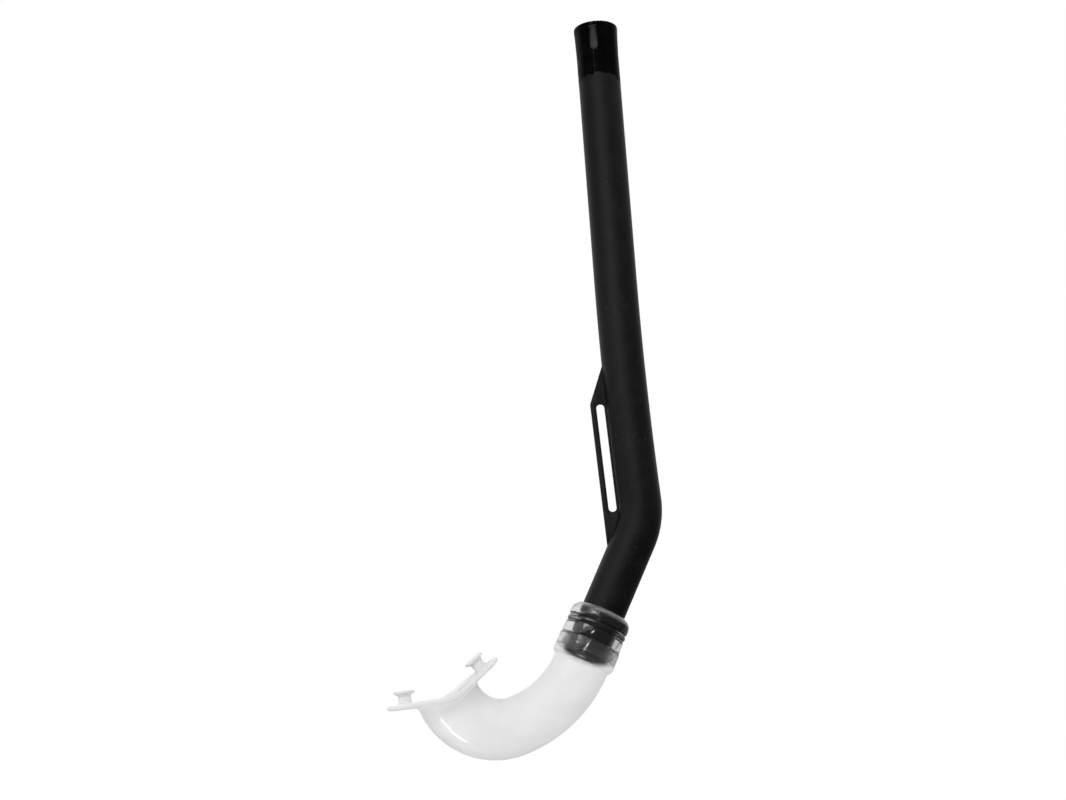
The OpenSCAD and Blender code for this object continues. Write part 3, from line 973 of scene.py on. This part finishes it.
# Studio: floor and camera
FLOOR_Z = -0.6
FLOOR_SIZE = 6
FLOOR_CLOUD = 0.4
CAMERA_AT = Vector((-0.05126, -1.2557, -0.29874))
AIM = Vector((-0.03649, 0, 0.03744))
CAMERA_UP = Vector((0.11164, -0.2582, 0.95963))
LENS = 79.16
SENSOR = 36
CAMERA_REACH = 50

# Studio: light of the surround, from behind and in front, from below and on dull surfaces
BRIGHT_SIDE = (-0.1, 0.95, 0.3)
BEHIND_EDGE = (0.1, 0.8)
ABOVE_EDGE = (-0.15, 0.2)
FRONT_LEVEL = 0.2
BACK_LEVEL = 1.15
LOW_SHARE = 0.3
DULL_LEVEL = 1


def camera():
    """Camera that looks up at the part from the front, a little rolled."""
    bpy.ops.object.camera_add(location=CAMERA_AT)
    made = bpy.context.object
    back = (CAMERA_AT - AIM).normalized()
    right = CAMERA_UP.cross(back).normalized()
    up = back.cross(right)
    turn = Matrix((right, up, back)).transposed()
    made.rotation_euler = turn.to_euler()
    made.data.lens = LENS
    made.data.sensor_width = SENSOR
    made.data.sensor_fit = "HORIZONTAL"
    made.data.clip_end = CAMERA_REACH
    bpy.context.scene.camera = made


def softbox(name, place, aim, size, power, lights="all"):
    """Soft rectangular lamp. "shine" keeps it to reflections, and "body" keeps it out of them."""
    bpy.ops.object.light_add(type="AREA", location=place)
    lamp = bpy.context.object
    lamp.name = name
    lamp.rotation_euler = (Vector(aim) - Vector(place)).to_track_quat("-Z", "Y").to_euler()
    lamp.data.shape = "RECTANGLE"
    lamp.data.size, lamp.data.size_y = size
    lamp.data.energy = power
    lamp.visible_camera = False
    lamp.visible_diffuse = lights != "shine"
    lamp.visible_transmission = lights != "shine"
    lamp.visible_glossy = lights != "body"


def pale_floor():
    """Pale dull floor well below the part."""
    bpy.ops.object.select_all(action="DESELECT")
    bpy.ops.mesh.primitive_plane_add(size=FLOOR_SIZE, location=(0, 0, FLOOR_Z))
    floor = bpy.context.object
    floor.name = "studio_floor"
    f = material("pale_floor")
    pale = f.blend(f.noise(size=FLOOR_CLOUD, detail=2), grey(0.8), grey(0.84))
    floor.data.materials.append(f.done(f.shader(Base_Color=pale, Roughness=0.8)))
    floor.visible_glossy = False


def white_surround():
    """World that is white to the camera and even to dull surfaces, and is brightest behind and above."""
    world = bpy.data.worlds.new("white_surround")
    bpy.context.scene.world = world
    f = Finish(world, "Generated")
    behind = f.band(f.dot(BRIGHT_SIDE), *BEHIND_EDGE)
    above = f.band(f.dot((0, 0, 1)), *ABOVE_EDGE)
    level = (FRONT_LEVEL + (BACK_LEVEL - FRONT_LEVEL) * behind) * (LOW_SHARE + (1 - LOW_SHARE) * above)
    dull = f.node("ShaderNodeLightPath", output="Is Diffuse Ray")
    strength = level * (1 - dull) + DULL_LEVEL * dull
    soft = f.node("ShaderNodeBackground", inputs={"Color": grey(1), "Strength": strength})
    white = f.node("ShaderNodeBackground", inputs={"Color": grey(1), "Strength": 1})
    seen = f.node("ShaderNodeLightPath", output="Is Camera Ray")
    f.done(f.mixed(seen, soft, white), "ShaderNodeOutputWorld")


bpy.context.scene.view_settings.view_transform = "Standard"
camera()
white_surround()
pale_floor()
softbox("key_softbox", place=(-0.276, -1.122, 0.6), aim=(0.11, -0.199, 0.6), size=(0.93, 0.22), power=4.2)
softbox("low_softbox", place=(-0.1, -0.25, -0.58), aim=(-0.1, -0.25, 0), size=(0.8, 0.5), power=0.6,
        lights="body")
softbox("overhead_softbox", place=(0.3, -0.4, 0.95), aim=(-0.01, 0, -0.09), size=(2.4, 0.5), power=9,
        lights="shine")
softbox("left_softbox", place=(-0.3, -0.29, 0.16), aim=(-0.02, 0, -0.1), size=(0.9, 0.22), power=0.9,
        lights="shine")
softbox("collar_softbox", place=(0.02, -1.3, 0.122), aim=(-0.02, 0, -0.1), size=(0.2, 0.045), power=0.95,
        lights="shine")
softbox("elbow_softbox", place=(-0.31, -0.31, -0.5), aim=(-0.09, -0.02, -0.15), size=(0.05, 0.25), power=2,
        lights="shine")

barrel(matte_black())
top_sleeve(gloss_black())
swivel_collar(clear_plastic())
mouthpiece(silicone())
collar_seal(seal_rubber())
